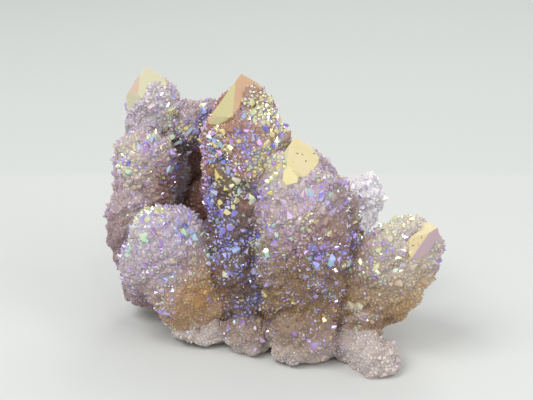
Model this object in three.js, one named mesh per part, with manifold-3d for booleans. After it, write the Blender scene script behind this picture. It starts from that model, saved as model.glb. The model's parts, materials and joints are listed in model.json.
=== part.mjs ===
// A spirit quartz cluster with an aura coating: stout quartz points that grew together on one matrix,
// each wearing a crust of small druse crystals, some with a bare six-sided termination at the tip.
// Millimetres, +Z up, the origin at the centre of the footprint on the surface that it rests on.
import * as THREE from "three";
import { mergeVertices } from "three/addons/utils/BufferGeometryUtils.js";
import Module from "manifold-3d";

const wasm = await Module();
wasm.setup();

// The crust, in millimetres. Its surface is a triangular lattice, where every third point is a peak.
const PITCH = 4.25; // spacing of the lattice
const RISE = 1.15; // how far a usual peak stands out
const LEAN = 0.9; // how far a peak points on towards the tip
const SINK = 0.5; // how far the valleys lie in
const BURY = 4.5; // how deep the crust goes under where the crystal is bare
const WELD = 1e-4; // points nearer than this are one

// The crust, as shares.
const ROW = Math.sqrt(3) / 2; // height of one lattice row over the pitch
const JITTER = 0.16; // how far lattice points stray over the pitch
const SHORTEST = 0.45; // height of the lowest peak over that of a usual one
const POLE = 0.4; // the crust fades out inside this much of the girth
const FEWEST_RINGS = 6;
const FEWEST_PEAKS = 3; // peaks around the smallest crust
const HEXAGON = 0.35; // how much of the section follows the crystal inside

// Waves that keep the crust from being a turned shape. Each has its lobes around the axis, its turn over
// the length, its height over the radius and the step of its phase from one point to the next.
const WAVES = [
  { lobes: 2, turn: 4, height: 0.05, phase: 1 },
  { lobes: 3, turn: -7, height: 0.045, phase: 2.3 },
];

// Outline of a crust from the foot to the tip. Each row has the radius over the girth, the height over
// that of the shoulder, and a further height over the girth.
const BARREL = [[0, 0, 0], [0.55, 0, 0.06], [0.86, 0, 0.3], [0.95, 0.45, 0], [1, 0.85, 0], [0.93, 1, 0.12]];
const TOPS = {
  pointed: { drop: 1.27, rows: [[0.64, 1, 0.63], [0.32, 1, 1.02], [0, 1, 0.91]] },
  rounded: { drop: 0.9, rows: [[0.68, 1, 0.45], [0.36, 1, 0.75], [0, 1, 0.9]] },
  blunt: { drop: 0.55, rows: [[0.66, 1, 0.37], [0.33, 1, 0.51], [0, 1, 0.55]] },
};

// The quartz inside: a six-sided prism under six termination faces.
const FACES = 6;
const FACE_ANGLE = THREE.MathUtils.degToRad(38.2); // between a termination face and the long axis
const FACE_SETBACKS = [0, 1.3, 0.2, 1.1, 0, 1.6]; // how far each termination face stands out
const CRYSTAL = 0.86; // radius of the crystal over that of its crust
const CRYSTAL_FOOT = 0.8; // radius of the crystal's foot over its own
const EDGE_START = Math.PI / 2; // puts an edge of the prism at no angle
const COVER = 4; // how deep the crystal's apex lies in a point that isn't bare

// The quartz points. foot and tip are the ends of the long axis and girth is the crust's largest radius.
// A point is bare or has its top covered. bare is how far down from the tip the crystal is bare: so much all
// round, and so much more in a lobe on one side, in degrees about the axis. turn is the angle of the crystal's
// first edge.
const POINTS = {
  centre: { foot: [-3.5, -6.5, 2], tip: [-7.9, -0.2, 72.5], girth: 12.7, bare: [3, 8.7, 212], turn: 20 },
  right_front: { foot: [11, -11.5, 3], tip: [6.4, -12.5, 58.5], girth: 15.6, bare: [2, 6, 283], turn: 15 },
  right: { foot: [18, -10.5, 7.5], tip: [43.4, -22.5, 36.8], girth: 12.4, bare: [2.2, 4.6, 262], turn: 25 },
  left_front: { foot: [-18.6, -8, 5], tip: [-34.6, -13.5, 37.8], girth: 12.5, top: "rounded", turn: 12 },
  left_middle: { foot: [-36.4, 2.5, 5], tip: [-35, 2.5, 55], girth: 8.4, top: "blunt", turn: 0 },
  left_back: { foot: [-29.5, 14.5, 8], tip: [-35, 13.5, 71], girth: 8.2, bare: [3.5, 7, 205], turn: 20 },
  small_back: { foot: [-32, 12.5, 48], tip: [-15, 10.5, 61.5], girth: 5.8, bare: [1, 0, 0], turn: 10 },
  hollow_back: { foot: [-18, 20, 6], tip: [-19.5, 24.5, 51], girth: 8.6, bare: [3, 0, 0], turn: 20 },
  right_back: { foot: [16, 10.5, 6], tip: [29, 18.5, 37.3], girth: 7, top: "rounded", turn: 0 },
  low_right: { foot: [19, -18.5, 5], tip: [32.4, -36.5, 2], girth: 6.4, top: "rounded", turn: 15 },
  back: { foot: [2, 8.5, 6], tip: [7, 25, 45], girth: 9.6, bare: [4, 3, 60], turn: 5 },
  back_left: { foot: [-15, 11, 5], tip: [-28, 28.5, 30], girth: 8.2, bare: [2.5, 3, 100], turn: 30 },
};

// The matrix that the points grew on, the masses that fill the clefts between them, and the buds at the
// front. at is the middle of each.
const LUMPS = {
  matrix: { at: [-4, 1.5, 7], half: [31, 17, 11] },
  front_cleft: { at: [-7.5, -9, 18], half: [11, 9.5, 37] },
  hollow_floor: { at: [-18, 8, 22], half: [9, 9, 17] },
  back_cleft: { at: [-2, 11, 22], half: [15, 9, 20] },
  right_cleft: { at: [20, 3, 14], half: [8, 10, 15] },
  front_bud: { at: [9, -22.5, 6], half: [9.5, 9, 8] },
  front_left_bud: { at: [-6.5, -18.5, 4], half: [7, 6.5, 5] },
  left_bud: { at: [-19, -13.5, 3.5], half: [9, 7, 4.5] },
  gap_bud: { at: [25.5, -21.5, 12], half: [6.5, 6, 7] },
  left_flank: { at: [-38.2, 0, 29], half: [7.6, 8, 13] },
};
const LUMP_SEED = 20;
const COVERED = [0, 0, 0]; // bare nowhere

// Steps of the wave that scatters the lattice, and how steep it is. They share no common rhythm.
const STRIDES = { column: 127.1, ring: 311.7, seed: 74.7 };
const STEEPNESS = 43758.5453;

const UP = new THREE.Vector3(0, 0, 1);
const radians = THREE.MathUtils.degToRad;

// An even number from 0 to 1 for one lattice point: the fraction of a steep sine wave. It is the same in
// every build.
function chance(column, ring, seed) {
  const steep = Math.sin(column * STRIDES.column + ring * STRIDES.ring + seed * STRIDES.seed) * STEEPNESS;
  return steep - Math.floor(steep);
}

// The radius of a hexagon at an angle, over the radius of its corners.
function hexagon(angle) {
  const sector = (2 * Math.PI) / FACES;
  const across = THREE.MathUtils.euclideanModulo(angle, sector) - sector / 2;
  return Math.cos(sector / 2) / Math.cos(across);
}

// How far the crust's radius swells at an angle and a share of the length, over that radius.
function swell(angle, along, seed) {
  return WAVES.reduce(
    (sum, wave) => sum + wave.height * Math.sin(wave.lobes * angle + wave.turn * along + wave.phase * seed),
    0,
  );
}

// The closed solid that a closed three.js geometry bounds.
function solidOf(geometry) {
  geometry.deleteAttribute("normal");
  geometry.deleteAttribute("uv");
  const merged = mergeVertices(geometry, WELD);
  const corners = Array.from(merged.index.array);
  const triangles = [];
  for (let k = 0; k < corners.length; k += 3) {
    const [a, b, c] = corners.slice(k, k + 3);
    if (a !== b && b !== c && c !== a) triangles.push(a, b, c);
  }
  const mesh = new wasm.Mesh({
    numProp: 3,
    vertProperties: new Float32Array(merged.attributes.position.array),
    triVerts: new Uint32Array(triangles),
  });
  return new wasm.Manifold(mesh);
}

// A crusted surface about +Y from an outline. Each ring of the lattice is turned by half a step on the one
// before, so that every peak is a six-sided pyramid. place puts a lattice point on the surface.
function druse(outline, girth, seed, place) {
  const rings = Math.max(FEWEST_RINGS, Math.round(outline.getLength() / (PITCH * ROW)));
  const sides = 3 * Math.max(FEWEST_PEAKS, Math.round((2 * Math.PI * girth) / PITCH / 3));
  const profile = outline.getSpacedPoints(rings);
  profile[0].x = 0;
  profile[rings].x = 0;
  const geometry = new THREE.LatheGeometry(profile, sides);
  const position = geometry.attributes.position;
  for (let i = 0; i <= sides; i += 1) {
    for (let j = 0; j <= rings; j += 1) {
      const column = i % sides;
      const isPeak = THREE.MathUtils.euclideanModulo(column - j, 3) === 0;
      const fade = Math.min(1, profile[j].x / (POLE * girth));
      const stray = (k) => (2 * chance(column, j, seed + k) - 1) * JITTER * fade;
      const angle = ((column + j / 2 + stray(1)) * 2 * Math.PI) / sides;
      const height = profile[j].y + stray(2) * PITCH;
      const out = (isPeak ? RISE * (SHORTEST + chance(column, j, seed)) : -SINK) * fade;
      const radius = place(angle, profile[j].x, height, out);
      const lean = isPeak ? LEAN * fade : 0;
      const vertex = i * (rings + 1) + j;
      position.setXYZ(vertex, radius * Math.sin(angle), height + lean, radius * Math.cos(angle));
    }
  }
  return solidOf(geometry);
}

// The crystal inside a point, in the point's own frame: the foot is at the origin and the axis is +Z.
function crystal({ apex, girth, isBare, turn }) {
  const length = isBare ? apex : apex - COVER;
  const radius = girth * CRYSTAL;
  const bottom = radius * CRYSTAL_FOOT;
  const prism = new THREE.CylinderGeometry(radius, bottom, length, FACES, 1, false, EDGE_START);
  prism.rotateX(Math.PI / 2).rotateZ(turn).translate(0, 0, length / 2);
  return FACE_SETBACKS.reduce((solid, setback, k) => {
    const azimuth = turn + ((k + 0.5) * 2 * Math.PI) / FACES;
    const level = Math.cos(FACE_ANGLE);
    const steep = Math.sin(FACE_ANGLE);
    const inward = [-level * Math.cos(azimuth), -level * Math.sin(azimuth), -steep];
    return solid.trimByPlane(inward, -(length * steep + setback));
  }, solidOf(prism));
}

// The crust of a point, in the point's own frame.
function coat({ apex, girth, bare, top, turn, seed }) {
  const { drop, rows } = TOPS[top];
  const shoulder = apex - drop * girth;
  const [all, more, side] = bare;
  const outline = new THREE.SplineCurve(
    [...BARREL, ...rows].map(([r, h, up]) => new THREE.Vector2(r * girth, h * shoulder + up * girth)),
  );
  const solid = druse(outline, girth, seed, (angle, radius, height, out) => {
    const facing = angle - Math.PI / 2;
    const clear = all + more * Math.max(0, Math.cos(facing - radians(side))) ** 2 - PITCH / 2;
    const section = 1 + HEXAGON * (hexagon(facing - turn) - 1);
    const smooth = radius * section * (1 + swell(facing, height / apex, seed));
    return Math.max(0, apex - height < clear ? smooth - BURY : smooth + out);
  });
  return solid.rotate([90, 0, 0]);
}

// A point of quartz in the cluster's frame: its crystal and its crust.
function quartzPoint({ foot, tip, girth, bare = COVERED, top = "pointed", turn }, seed) {
  const from = new THREE.Vector3(...foot);
  const axis = new THREE.Vector3(...tip).sub(from);
  const apex = axis.length();
  const spec = { apex, girth, isBare: bare !== COVERED, bare, top, turn: radians(turn), seed };
  const stand = new THREE.Quaternion().setFromUnitVectors(UP, axis.normalize());
  const frame = new THREE.Matrix4().compose(from, stand, new THREE.Vector3(1, 1, 1));
  return coat(spec).add(crystal(spec)).transform(frame.toArray());
}

// A rounded lump with a crust on it.
function lump({ at, half }, seed) {
  const [width, depth, height] = half;
  const girth = Math.sqrt(width * depth);
  const outline = new THREE.EllipseCurve(0, 0, girth, height, -Math.PI / 2, Math.PI / 2);
  const solid = druse(outline, girth, seed, (angle, radius, rise, out) =>
    Math.max(0, radius * (1 + swell(angle, rise / height, seed)) + out),
  );
  return solid.rotate([90, 0, 0]).scale([width / girth, depth / girth, 1]).translate(at);
}

// The whole cluster, joined, cut off flat at the base and centred on its footprint. The small hollows that
// the join seals inside are filled: only the outside shell is kept.
function cluster() {
  const grown = [
    ...Object.values(POINTS).map((spec, k) => quartzPoint(spec, k + 1)),
    ...Object.values(LUMPS).map((spec, k) => lump(spec, k + LUMP_SEED)),
  ];
  const shells = wasm.Manifold.union(grown).trimByPlane(UP.toArray(), 0).decompose();
  const outside = shells.reduce((largest, shell) => (shell.volume() > largest.volume() ? shell : largest));
  const mesh = outside.getMesh();
  const geometry = new THREE.BufferGeometry();
  geometry.setAttribute("position", new THREE.BufferAttribute(mesh.vertProperties, mesh.numProp));
  geometry.setIndex(new THREE.BufferAttribute(mesh.triVerts, 1));
  geometry.computeBoundingBox();
  const middle = geometry.boundingBox.getCenter(new THREE.Vector3());
  geometry.translate(-middle.x, -middle.y, 0);
  geometry.computeVertexNormals();
  return geometry;
}

const quartz = new THREE.MeshStandardMaterial({ color: 0xb9a3b8, roughness: 0.25, metalness: 0.1 });
const body = new THREE.Mesh(cluster(), quartz);
body.name = "spirit_quartz_cluster";

const group = new THREE.Group();
group.add(body);
export default group;
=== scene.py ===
"""A spirit quartz cluster with an aura coating, laid out as an add-on and run as a script.

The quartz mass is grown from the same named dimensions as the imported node. Its bare tips are cut
flat, and a crust of small druse crystals covers the rest. Lengths are in millimetres, but for the
settings and the stage, which are in metres. A pattern's scale is in cells to the metre.
"""

import json
import math
from collections import namedtuple
from operator import attrgetter

import bmesh
import bpy
import numpy as np
from bpy.props import FloatProperty, FloatVectorProperty, IntProperty, PointerProperty
from mathutils import Matrix, Vector, kdtree, noise

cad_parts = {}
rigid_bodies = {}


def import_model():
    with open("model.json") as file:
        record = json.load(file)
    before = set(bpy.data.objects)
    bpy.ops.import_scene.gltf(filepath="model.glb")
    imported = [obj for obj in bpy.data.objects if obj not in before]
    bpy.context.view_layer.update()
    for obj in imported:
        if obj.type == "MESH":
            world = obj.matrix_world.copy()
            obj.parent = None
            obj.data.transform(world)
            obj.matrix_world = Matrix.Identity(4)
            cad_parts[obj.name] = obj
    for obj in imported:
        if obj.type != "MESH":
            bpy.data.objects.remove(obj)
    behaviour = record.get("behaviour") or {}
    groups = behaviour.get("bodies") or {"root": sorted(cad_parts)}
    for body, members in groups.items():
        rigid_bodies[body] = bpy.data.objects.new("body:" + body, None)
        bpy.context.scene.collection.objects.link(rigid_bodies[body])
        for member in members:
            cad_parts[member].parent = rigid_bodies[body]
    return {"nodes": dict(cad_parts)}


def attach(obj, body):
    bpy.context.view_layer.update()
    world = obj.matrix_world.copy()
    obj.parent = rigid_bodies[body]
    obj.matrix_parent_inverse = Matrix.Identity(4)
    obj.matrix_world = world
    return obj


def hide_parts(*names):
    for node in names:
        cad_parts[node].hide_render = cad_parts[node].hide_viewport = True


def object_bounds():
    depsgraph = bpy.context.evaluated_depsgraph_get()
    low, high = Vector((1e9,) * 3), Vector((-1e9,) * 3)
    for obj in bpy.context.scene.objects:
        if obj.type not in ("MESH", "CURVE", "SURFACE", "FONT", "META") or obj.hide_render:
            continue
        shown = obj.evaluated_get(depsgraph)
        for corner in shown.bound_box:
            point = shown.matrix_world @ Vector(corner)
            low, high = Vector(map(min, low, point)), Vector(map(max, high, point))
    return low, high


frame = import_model()
CAD_BOUNDS = [list(corner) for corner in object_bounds()]

bl_info = {
    "name": "Spirit Quartz Cluster",
    "version": (1, 0, 0),
    "blender": (4, 5, 0),
    "location": "3D View > Sidebar > Quartz",
    "description": "Grows a spirit quartz cluster with bare tips, a druse crust and a coating",
    "category": "Add Mesh",
}

NODE = "spirit_quartz_cluster"
BODY = "root"
MM = 0.001

# ---------------------------------------------------------------- tables shared with the solid

BURY = 4.5  # how deep the crust goes under where the crystal is bare
HEXAGON = 0.35  # how much of the crust's section follows the crystal inside

# Swellings of the crust's radius: so many lobes round a point, which turn over its length.
Wave = namedtuple("Wave", "lobes turn height phase")
WAVES = (Wave(2, 4, 0.05, 1), Wave(3, -7, 0.045, 2.3))

# Rows of a point's outline: its radius over the girth, the share of the shoulder's height, and the
# height beyond that, over the girth. A top's rows follow those of the barrel, and its drop is how
# far the shoulder lies under the tip, over the girth.
BARREL = (
    (0, 0, 0), (0.55, 0, 0.06), (0.86, 0, 0.3), (0.95, 0.45, 0), (1, 0.85, 0), (0.93, 1, 0.12),
)
Top = namedtuple("Top", "drop rows")
TOPS = {
    "pointed": Top(1.27, ((0.64, 1, 0.63), (0.32, 1, 1.02), (0, 1, 0.91))),
    "rounded": Top(0.9, ((0.68, 1, 0.45), (0.36, 1, 0.75), (0, 1, 0.9))),
    "blunt": Top(0.55, ((0.66, 1, 0.37), (0.33, 1, 0.51), (0, 1, 0.55))),
}

FACES = 6
SECTOR = 2 * math.pi / FACES
FACE_ANGLE = math.radians(38.2)  # between a termination face and the long axis
FACE_SETBACKS = (0, 1.3, 0.2, 1.1, 0, 1.6)  # how far out from the apex each termination face lies
CRYSTAL = 0.86  # radius of the crystal over that of its crust
CRYSTAL_FOOT = 0.8  # and its radius at the foot over that

# foot and tip are the ends of the long axis, and girth is the crust's radius. turn is how far the
# crystal is turned about the axis, in degrees. bare is how far down from the tip the crystal is
# bare: so much all round, and so much more in a lobe on one side, whose angle in degrees comes
# last. A point without it has a covered top. films is the coating's phase on each termination face,
# and pits the share of it that is pitted. tip_body is the quartz's colour on them, where it isn't
# the look's own.
THIN_FILM = (0.05,) * FACES
SMOOTH = (0,) * FACES
PointSpec = namedtuple(
    "PointSpec", "foot tip girth turn look bare films pits top tip_body",
    defaults=(None, THIN_FILM, SMOOTH, "pointed", None),
)
POINTS = {
    "centre": PointSpec((-3.5, -6.5, 2), (-7.9, -0.2, 72.5), 12.7, 20, "russet", (3, 8.7, 212),
                        (0.2, 0.1, 0.95, 0.98, 0.26, 0.9), tip_body="ochre"),
    "right_front": PointSpec((11, -11.5, 3), (6.4, -12.5, 58.5), 15.6, 15, "pale_lilac",
                             (2, 6, 283), (0.1, 0.2, 0.9, 0.95, 0.07, 0.9), (0, 0, 0, 0, 0.3, 0),
                             tip_body="sand"),
    "right": PointSpec((18, -10.5, 7.5), (43.4, -22.5, 36.8), 12.4, 25, "amber", (2.2, 4.6, 262),
                       (0.1, 0.2, 0.05, 0.17, 0.36, 0.3), (0, 0, 0, 0.4, 0, 0)),
    "left_front": PointSpec((-18.6, -8, 5), (-34.6, -13.5, 37.8), 12.5, 12, "frost", top="rounded"),
    "left_middle": PointSpec((-36.4, 2.5, 5), (-35, 2.5, 55), 8.4, 0, "mauve", top="blunt"),
    "left_back": PointSpec((-29.5, 14.5, 8), (-35, 13.5, 71), 8.2, 20, "mist", (3.5, 7, 205),
                           (0.1, 0.2, 0.1, 0.25, 0.98, 0.1), tip_body="lilac"),
    "small_back": PointSpec((-32, 12.5, 48), (-15, 10.5, 61.5), 5.8, 10, "mint", (1, 0, 0)),
    "hollow_back": PointSpec((-18, 20, 6), (-19.5, 24.5, 51), 8.6, 20, "shadow", (3, 0, 0)),
    "right_back": PointSpec((16, 10.5, 6), (29, 18.5, 37.3), 7, 0, "pale", top="rounded"),
    "low_right": PointSpec((19, -18.5, 5), (32.4, -36.5, 2), 6.4, 15, "chalk", top="rounded"),
    "back": PointSpec((2, 8.5, 6), (7, 25, 45), 9.6, 5, "russet", (4, 3, 60)),
    "back_left": PointSpec((-15, 11, 5), (-28, 28.5, 30), 8.2, 30, "frost", (2.5, 3, 100)),
}

# Rounded lumps of the matrix and of buds: their middles and half their sizes.
LumpSpec = namedtuple("LumpSpec", "at half look")
LUMPS = {
    "matrix": LumpSpec((-4, 1.5, 7), (31, 17, 11), "stone"),
    "front_cleft": LumpSpec((-7.5, -9, 18), (11, 9.5, 37), "violet"),
    "hollow_floor": LumpSpec((-18, 8, 22), (9, 9, 17), "shadow"),
    "back_cleft": LumpSpec((-2, 11, 22), (15, 9, 20), "stone"),
    "right_cleft": LumpSpec((20, 3, 14), (8, 10, 15), "stone"),
    "front_bud": LumpSpec((9, -22.5, 6), (9.5, 9, 8), "bud"),
    "front_left_bud": LumpSpec((-6.5, -18.5, 4), (7, 6.5, 5), "bud"),
    "left_bud": LumpSpec((-19, -13.5, 3.5), (9, 7, 4.5), "chalk"),
    "gap_bud": LumpSpec((25.5, -21.5, 12), (6.5, 6, 7), "amber"),
    "left_flank": LumpSpec((-38.2, 0, 29), (7.6, 8, 13), "flank"),
}
LUMP_SEED = 20  # the lumps' seeds count up from here, and the points' from 1


def footprint_middle():
    """The frame's origin in the tables: the centre point's tip is the node's highest point."""
    highest = max((v.co for v in frame["nodes"][NODE].data.vertices), key=lambda co: co.z)
    tip = Vector(POINTS["centre"].tip)
    return Vector((tip.x - highest.x / MM, tip.y - highest.y / MM, 0))


MIDDLE = footprint_middle()

# ---------------------------------------------------------------- looks of the grown pieces

# low and high are the body's colours at the foot and the tip, film is the coating's phase there,
# odd is the share of crystals that take another phase, and gleam is the share of facets that become
# mirrors. size is the width of the crystals over the usual one, tall the height of the fine ones
# over theirs, and coarse the share of middling and large crystals over the usual one.
Look = namedtuple("Look", "low high film_low film_high odd gleam size tall coarse")
LOOKS = {
    "russet": Look("umber", "rust", 0.43, 0.38, 0.1, 0.38, 0.95, 0.9, 1),
    "pale_lilac": Look("olive", "lilac", 0.44, 0.4, 0.22, 0.27, 1, 0.85, 1.4),
    "amber": Look("amber", "sand", 0.42, 0.41, 0.3, 0.18, 1, 0.8, 1),
    "frost": Look("ochre", "frost", 0.42, 0.42, 0.25, 0.24, 1, 0.8, 0.9),
    "mauve": Look("walnut", "blush", 0.41, 0.41, 0.25, 0.22, 1, 0.85, 1.1),
    "mist": Look("mist", "fog", 0.41, 0.41, 0.35, 0.18, 1, 0.85, 0.8),
    "mint": Look("umber", "mist", 0.46, 0.46, 0.4, 0.4, 0.95, 0.9, 0.8),
    "shadow": Look("bark", "bark", 0.42, 0.42, 0, 0.02, 1, 0.8, 0.1),
    "violet": Look("cocoa", "cocoa", 0.49, 0.49, 0.08, 0.38, 1, 0.9, 1.6),
    "stone": Look("stone", "umber", 0.41, 0.41, 0.1, 0.08, 1, 0.8, 0.4),
    "flank": Look("walnut", "mist", 0.41, 0.41, 0.15, 0.08, 1, 0.7, 0.4),
    "bud": Look("shell", "stone", 0.41, 0.41, 0.1, 0.17, 0.95, 0.75, 0.6),
    "pale": Look("milk", "milk", 0.41, 0.41, 0.1, 0.03, 1.1, 0.4, 0.4),
    "chalk": Look("shell", "shell", 0.41, 0.41, 0.1, 0.05, 0.9, 0.6, 0.4),
}

# Soft spots in the body colour: some are stains, and the others are painted light and painted
# shade, as marked in the table. strength is a spot's share in its middle, and falls off over the
# radius.
BodySpot = namedtuple("BodySpot", "at radius colour strength")
STAINS_AND_PAINTED_LIGHT = [BodySpot(*row) for row in (
    ((-20.5, -17, 17), 7.5, "honey", 0.9),
    ((37, -24, 17), 9, "honey", 0.5),
    ((28, -26, 12), 5, "walnut", 0.35),
    ((8, -22, 16), 12, "olive", 0.7),
    ((2, -6, 52), 8, "rust", 0.8),
    # painted light: paler near the top of the centre point
    ((-3, -8, 65), 7, "lit_white", 0.25),
    # painted shade: darker brown on right_front's right flank, away from the key light
    ((20, -18, 32), 9, "umber", 0.85),
    ((17, -14, 43), 5, "umber", 0.8),
    ((13, -25, 35), 7, "rust", 0.6),
    ((6, -27, 27), 7, "olive", 0.65),
    ((-3.5, -15.5, 37), 5, "umber", 0.8),
    ((9, -25, 12), 7, "olive", 0.6),
    # browner on left_middle's right flank beside the hollow: partly its own colour, partly painted
    # shade
    ((-28, -1, 42), 6, "rust", 0.9),
    # painted light: paler on the lit upper left sides of left_middle, left_front and right_front
    ((-40, -3, 50), 8, "lit_white", 0.6),
    ((-37, -15, 35), 6, "lit_white", 0.6),
    ((1, -15, 51), 7, "lit_white", 0.6),
    # partly painted shade: darker brown in the front cleft
    ((-12, -12, 20), 9, "cocoa", 0.7),
    # painted shade: darker in the hollow between the centre and the left points
    ((-18, 2, 44), 6, "bark", 0.8),
    ((-21, 35, 38), 12, "walnut", 0.9),
    ((-40, -5, 13), 9, "mist", 0.8),
    # painted light: paler on the lit top of the right point
    ((32.9, -18, 36), 7, "lit_white", 0.9),
)]

# Patches in which the coating differs: the share of crystals that take the patch's phase falls off
# from its middle, and gleam is the share of mirror facets over the usual one.
Patch = namedtuple("Patch", "at radius film gleam")
PATCHES = [Patch(*row) for row in (
    ((-2, -7, 65), 7, 0.95, 3.2),
    ((3, -10, 58), 5, 1.02, 2),
    ((-13.1, -10.4, 59.6), 4.5, 1.05, 2.2),
    ((-16.2, -9.3, 53.1), 3.2, 0.6, 2.6),
    ((-14, -10.9, 48.3), 4.5, 1.05, 2.6),
    ((-3.8, -12.8, 57.3), 5.5, 0.5, 0.6),
    ((-3.8, -14.1, 52.2), 3, 0.72, 3),
    ((-16.6, -9.5, 39.9), 3.5, 0.52, 2.2),
    ((-10.2, -14.2, 44.4), 3, 0.95, 1.8),
    ((-10, -18, 28.7), 4, 0.54, 2),
    ((-12, -17.9, 19.3), 3, 0.57, 2.4),
    ((-2.6, -18.3, 15.4), 3, 0.58, 2.4),
    ((-2.8, -19.4, 31.3), 3.5, 0.9, 3.6),
    ((-35.5, -12, 37.2), 4, 0.85, 3),
    ((-37.8, -17.2, 30), 4.5, 0.78, 2),
    ((-27.6, -24.3, 23.1), 2.5, 0.58, 3),
    ((-17.4, -14.1, 24.5), 2.5, 0.74, 2.5),
    ((-30, -13.7, 38.5), 2.5, 0.95, 3),
    ((-22.5, -17.6, 34.3), 4.5, 0.58, 1.8),
    ((-40, -2.2, 51.7), 4, 0.92, 2),
    ((-38, -4, 47.4), 3.5, 0.95, 3.2),
    ((-33, -3.6, 52.2), 4.5, 0.46, 2),
    ((-27.5, 1, 46.3), 4, 0.52, 2.4),
    ((-30.6, -3.4, 42), 5, 0.45, 0.4),
    ((-22.6, 5.6, 56.5), 5, 0.5, 1.6),
    ((-28.2, 7.1, 58.1), 3, 1.0, 2.6),
    ((0.1, -15.9, 51.1), 6, 1.03, 2.6),
    ((13, -21.7, 47), 4.5, 0.4, 1.6),
    ((8, -26.8, 41.5), 3, 1.05, 2),
    ((12.6, -26.4, 28.8), 7, 0.46, 1.5),
    ((7, -27, 36), 5, 0.36, 2),
    ((32.9, -17, 35.5), 8, 0.94, 4),
    ((22.8, -17.7, 30), 4, 0.53, 2.6),
    ((21.4, -20.5, 25.7), 3, 0.78, 2.8),
    ((26.3, -25.6, 27.6), 5, 0.4, 1.6),
    ((-20.5, -17, 16), 7, 0.4, 0.4),
    ((-21, 35, 36), 13, 0.42, 13),
    ((35, -25, 15), 9, 0.4, 0.4),
)]

# Crystals that stand out of the druse, with one large face turned to the front. at is near their
# place on the mass, width is across the corners, film is the coating's phase on the large face, and
# white is how much painted white glint is mixed into it.
Showpiece = namedtuple("Showpiece", "at width film white")
SHOWPIECES = [Showpiece(*row) for row in (
    ((-1.5, -10.4, 61), 2.2, 0.96, 0.1),
    ((1.7, -5.4, 62.3), 1.9, 1.05, 0.45),
    ((1.2, -11.1, 57.3), 2.3, 0.88, 0.2),
    ((-10.4, -12.7, 56.4), 2, 0.94, 0.1),
    ((-3, -13.2, 56.9), 2.2, 0.43, 0),
    ((-5.2, -15.2, 43.3), 2.6, 0.9, 0.1),
    ((-13.7, -14.5, 40.8), 2, 1.08, 0),
    ((-11.3, -16, 39.1), 2.3, 1.0, 0.1),
    ((-21.7, 6.9, 36.9), 1.2, 0.7, 0.6),
    ((-26.7, 7.1, 52.9), 2.7, 0.85, 0.1),
    ((-21.8, 5.7, 54.8), 2.5, 0.66, 0.05),
    ((-24.5, 7.3, 51.7), 2.4, 0.74, 0),
    ((-34.1, -3.5, 52.1), 3, 0.44, 0.1),
    ((-36.6, -3, 51.4), 2.6, 1.0, 0.1),
    ((-33.4, -5.3, 44.1), 1.6, 0.8, 0.5),
    ((5.4, -21, 51.2), 5.8, 1.03, 0),
    ((9.4, -23.6, 47), 2.6, 0.84, 0.15),
    ((10.6, -23.5, 46.8), 3, 0.68, 0.2),
    ((11.8, -26.4, 28.8), 2.3, 0.54, 0),
    ((15.5, -25, 29.6), 2.5, 0.56, 0),
    ((19.8, -21.7, 33.1), 2.2, 0.54, 0),
    ((7.3, -26.8, 41.5), 1.4, 1.05, 0.4),
    ((10.1, -26.6, 41.4), 1.4, 1.05, 0.4),
    ((12.5, -27, 35.8), 1.5, 0.7, 0.5),
    ((-2, -22.7, 30.9), 1.8, 0.9, 0.5),
    ((25, -25.2, 27.4), 2.2, 0.92, 0.1),
    ((28.1, -27.7, 28.2), 2, 1.0, 0.1),
    ((20.8, -21, 26.5), 2.4, 0.74, 0.1),
    ((32.6, -28.3, 26.5), 1.8, 0.8, 0.5),
    ((-25, -15.6, 35.8), 3.2, 0.56, 0.2),
    ((-22.5, -17.6, 34.3), 2.4, 0.84, 0.2),
    ((-20.5, -16, 31.7), 2.8, 0.68, 0.2),
    ((-17.7, -14.1, 25.6), 1.5, 0.75, 0.4),
    ((-17, -14.1, 23.6), 1.5, 0.85, 0.4),
    ((-26.2, -23, 19.3), 1.4, 0.7, 0.5),
    ((-31.2, -17.4, 11.7), 1.3, 0.6, 0.5),
    ((-9.9, -20.9, 8.9), 1.5, 0.7, 0.5),
    ((-22.8, -18.5, 5.3), 1.4, 0.6, 0.5),
)]

# The druse is made in pieces, one for each neighbourhood of grown pieces.
DRUSE_PIECES = {
    "druse_left": ("left_front", "left_middle", "left_back", "left_flank"),
    "druse_centre": ("centre", "small_back", "hollow_back", "front_cleft", "hollow_floor"),
    "druse_front": ("right_front", "front_bud", "front_left_bud", "left_bud"),
    "druse_right": ("right", "right_back", "gap_bud", "low_right", "right_cleft"),
    "druse_back": ("back", "back_left", "back_cleft", "matrix"),
}


def srgb(code):
    """Linear colour of a six-digit hex code of an sRGB colour."""
    values = [int(code[k : k + 2], 16) / 255 for k in (0, 2, 4)]
    return [v / 12.92 if v <= 0.04045 else ((v + 0.055) / 1.055) ** 2.4 for v in values]


def colour_prop(name, description, code):
    """A colour setting."""
    return FloatVectorProperty(
        name=name, description=description, subtype="COLOR", size=3, min=0, max=1,
        default=srgb(code),
    )


def length_prop(name, description, millimetres):
    """A length setting, which Blender keeps in metres."""
    return FloatProperty(
        name=name, description=description, subtype="DISTANCE", unit="LENGTH", min=0,
        default=millimetres * MM,
    )


def share_prop(name, description, value):
    """A setting between 0 and 1."""
    return FloatProperty(
        name=name, description=description, subtype="FACTOR", min=0, max=1, default=value
    )


def power_prop(name, description, value):
    """A setting for how strong a light is."""
    return FloatProperty(name=name, description=description, min=0, default=value)


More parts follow.
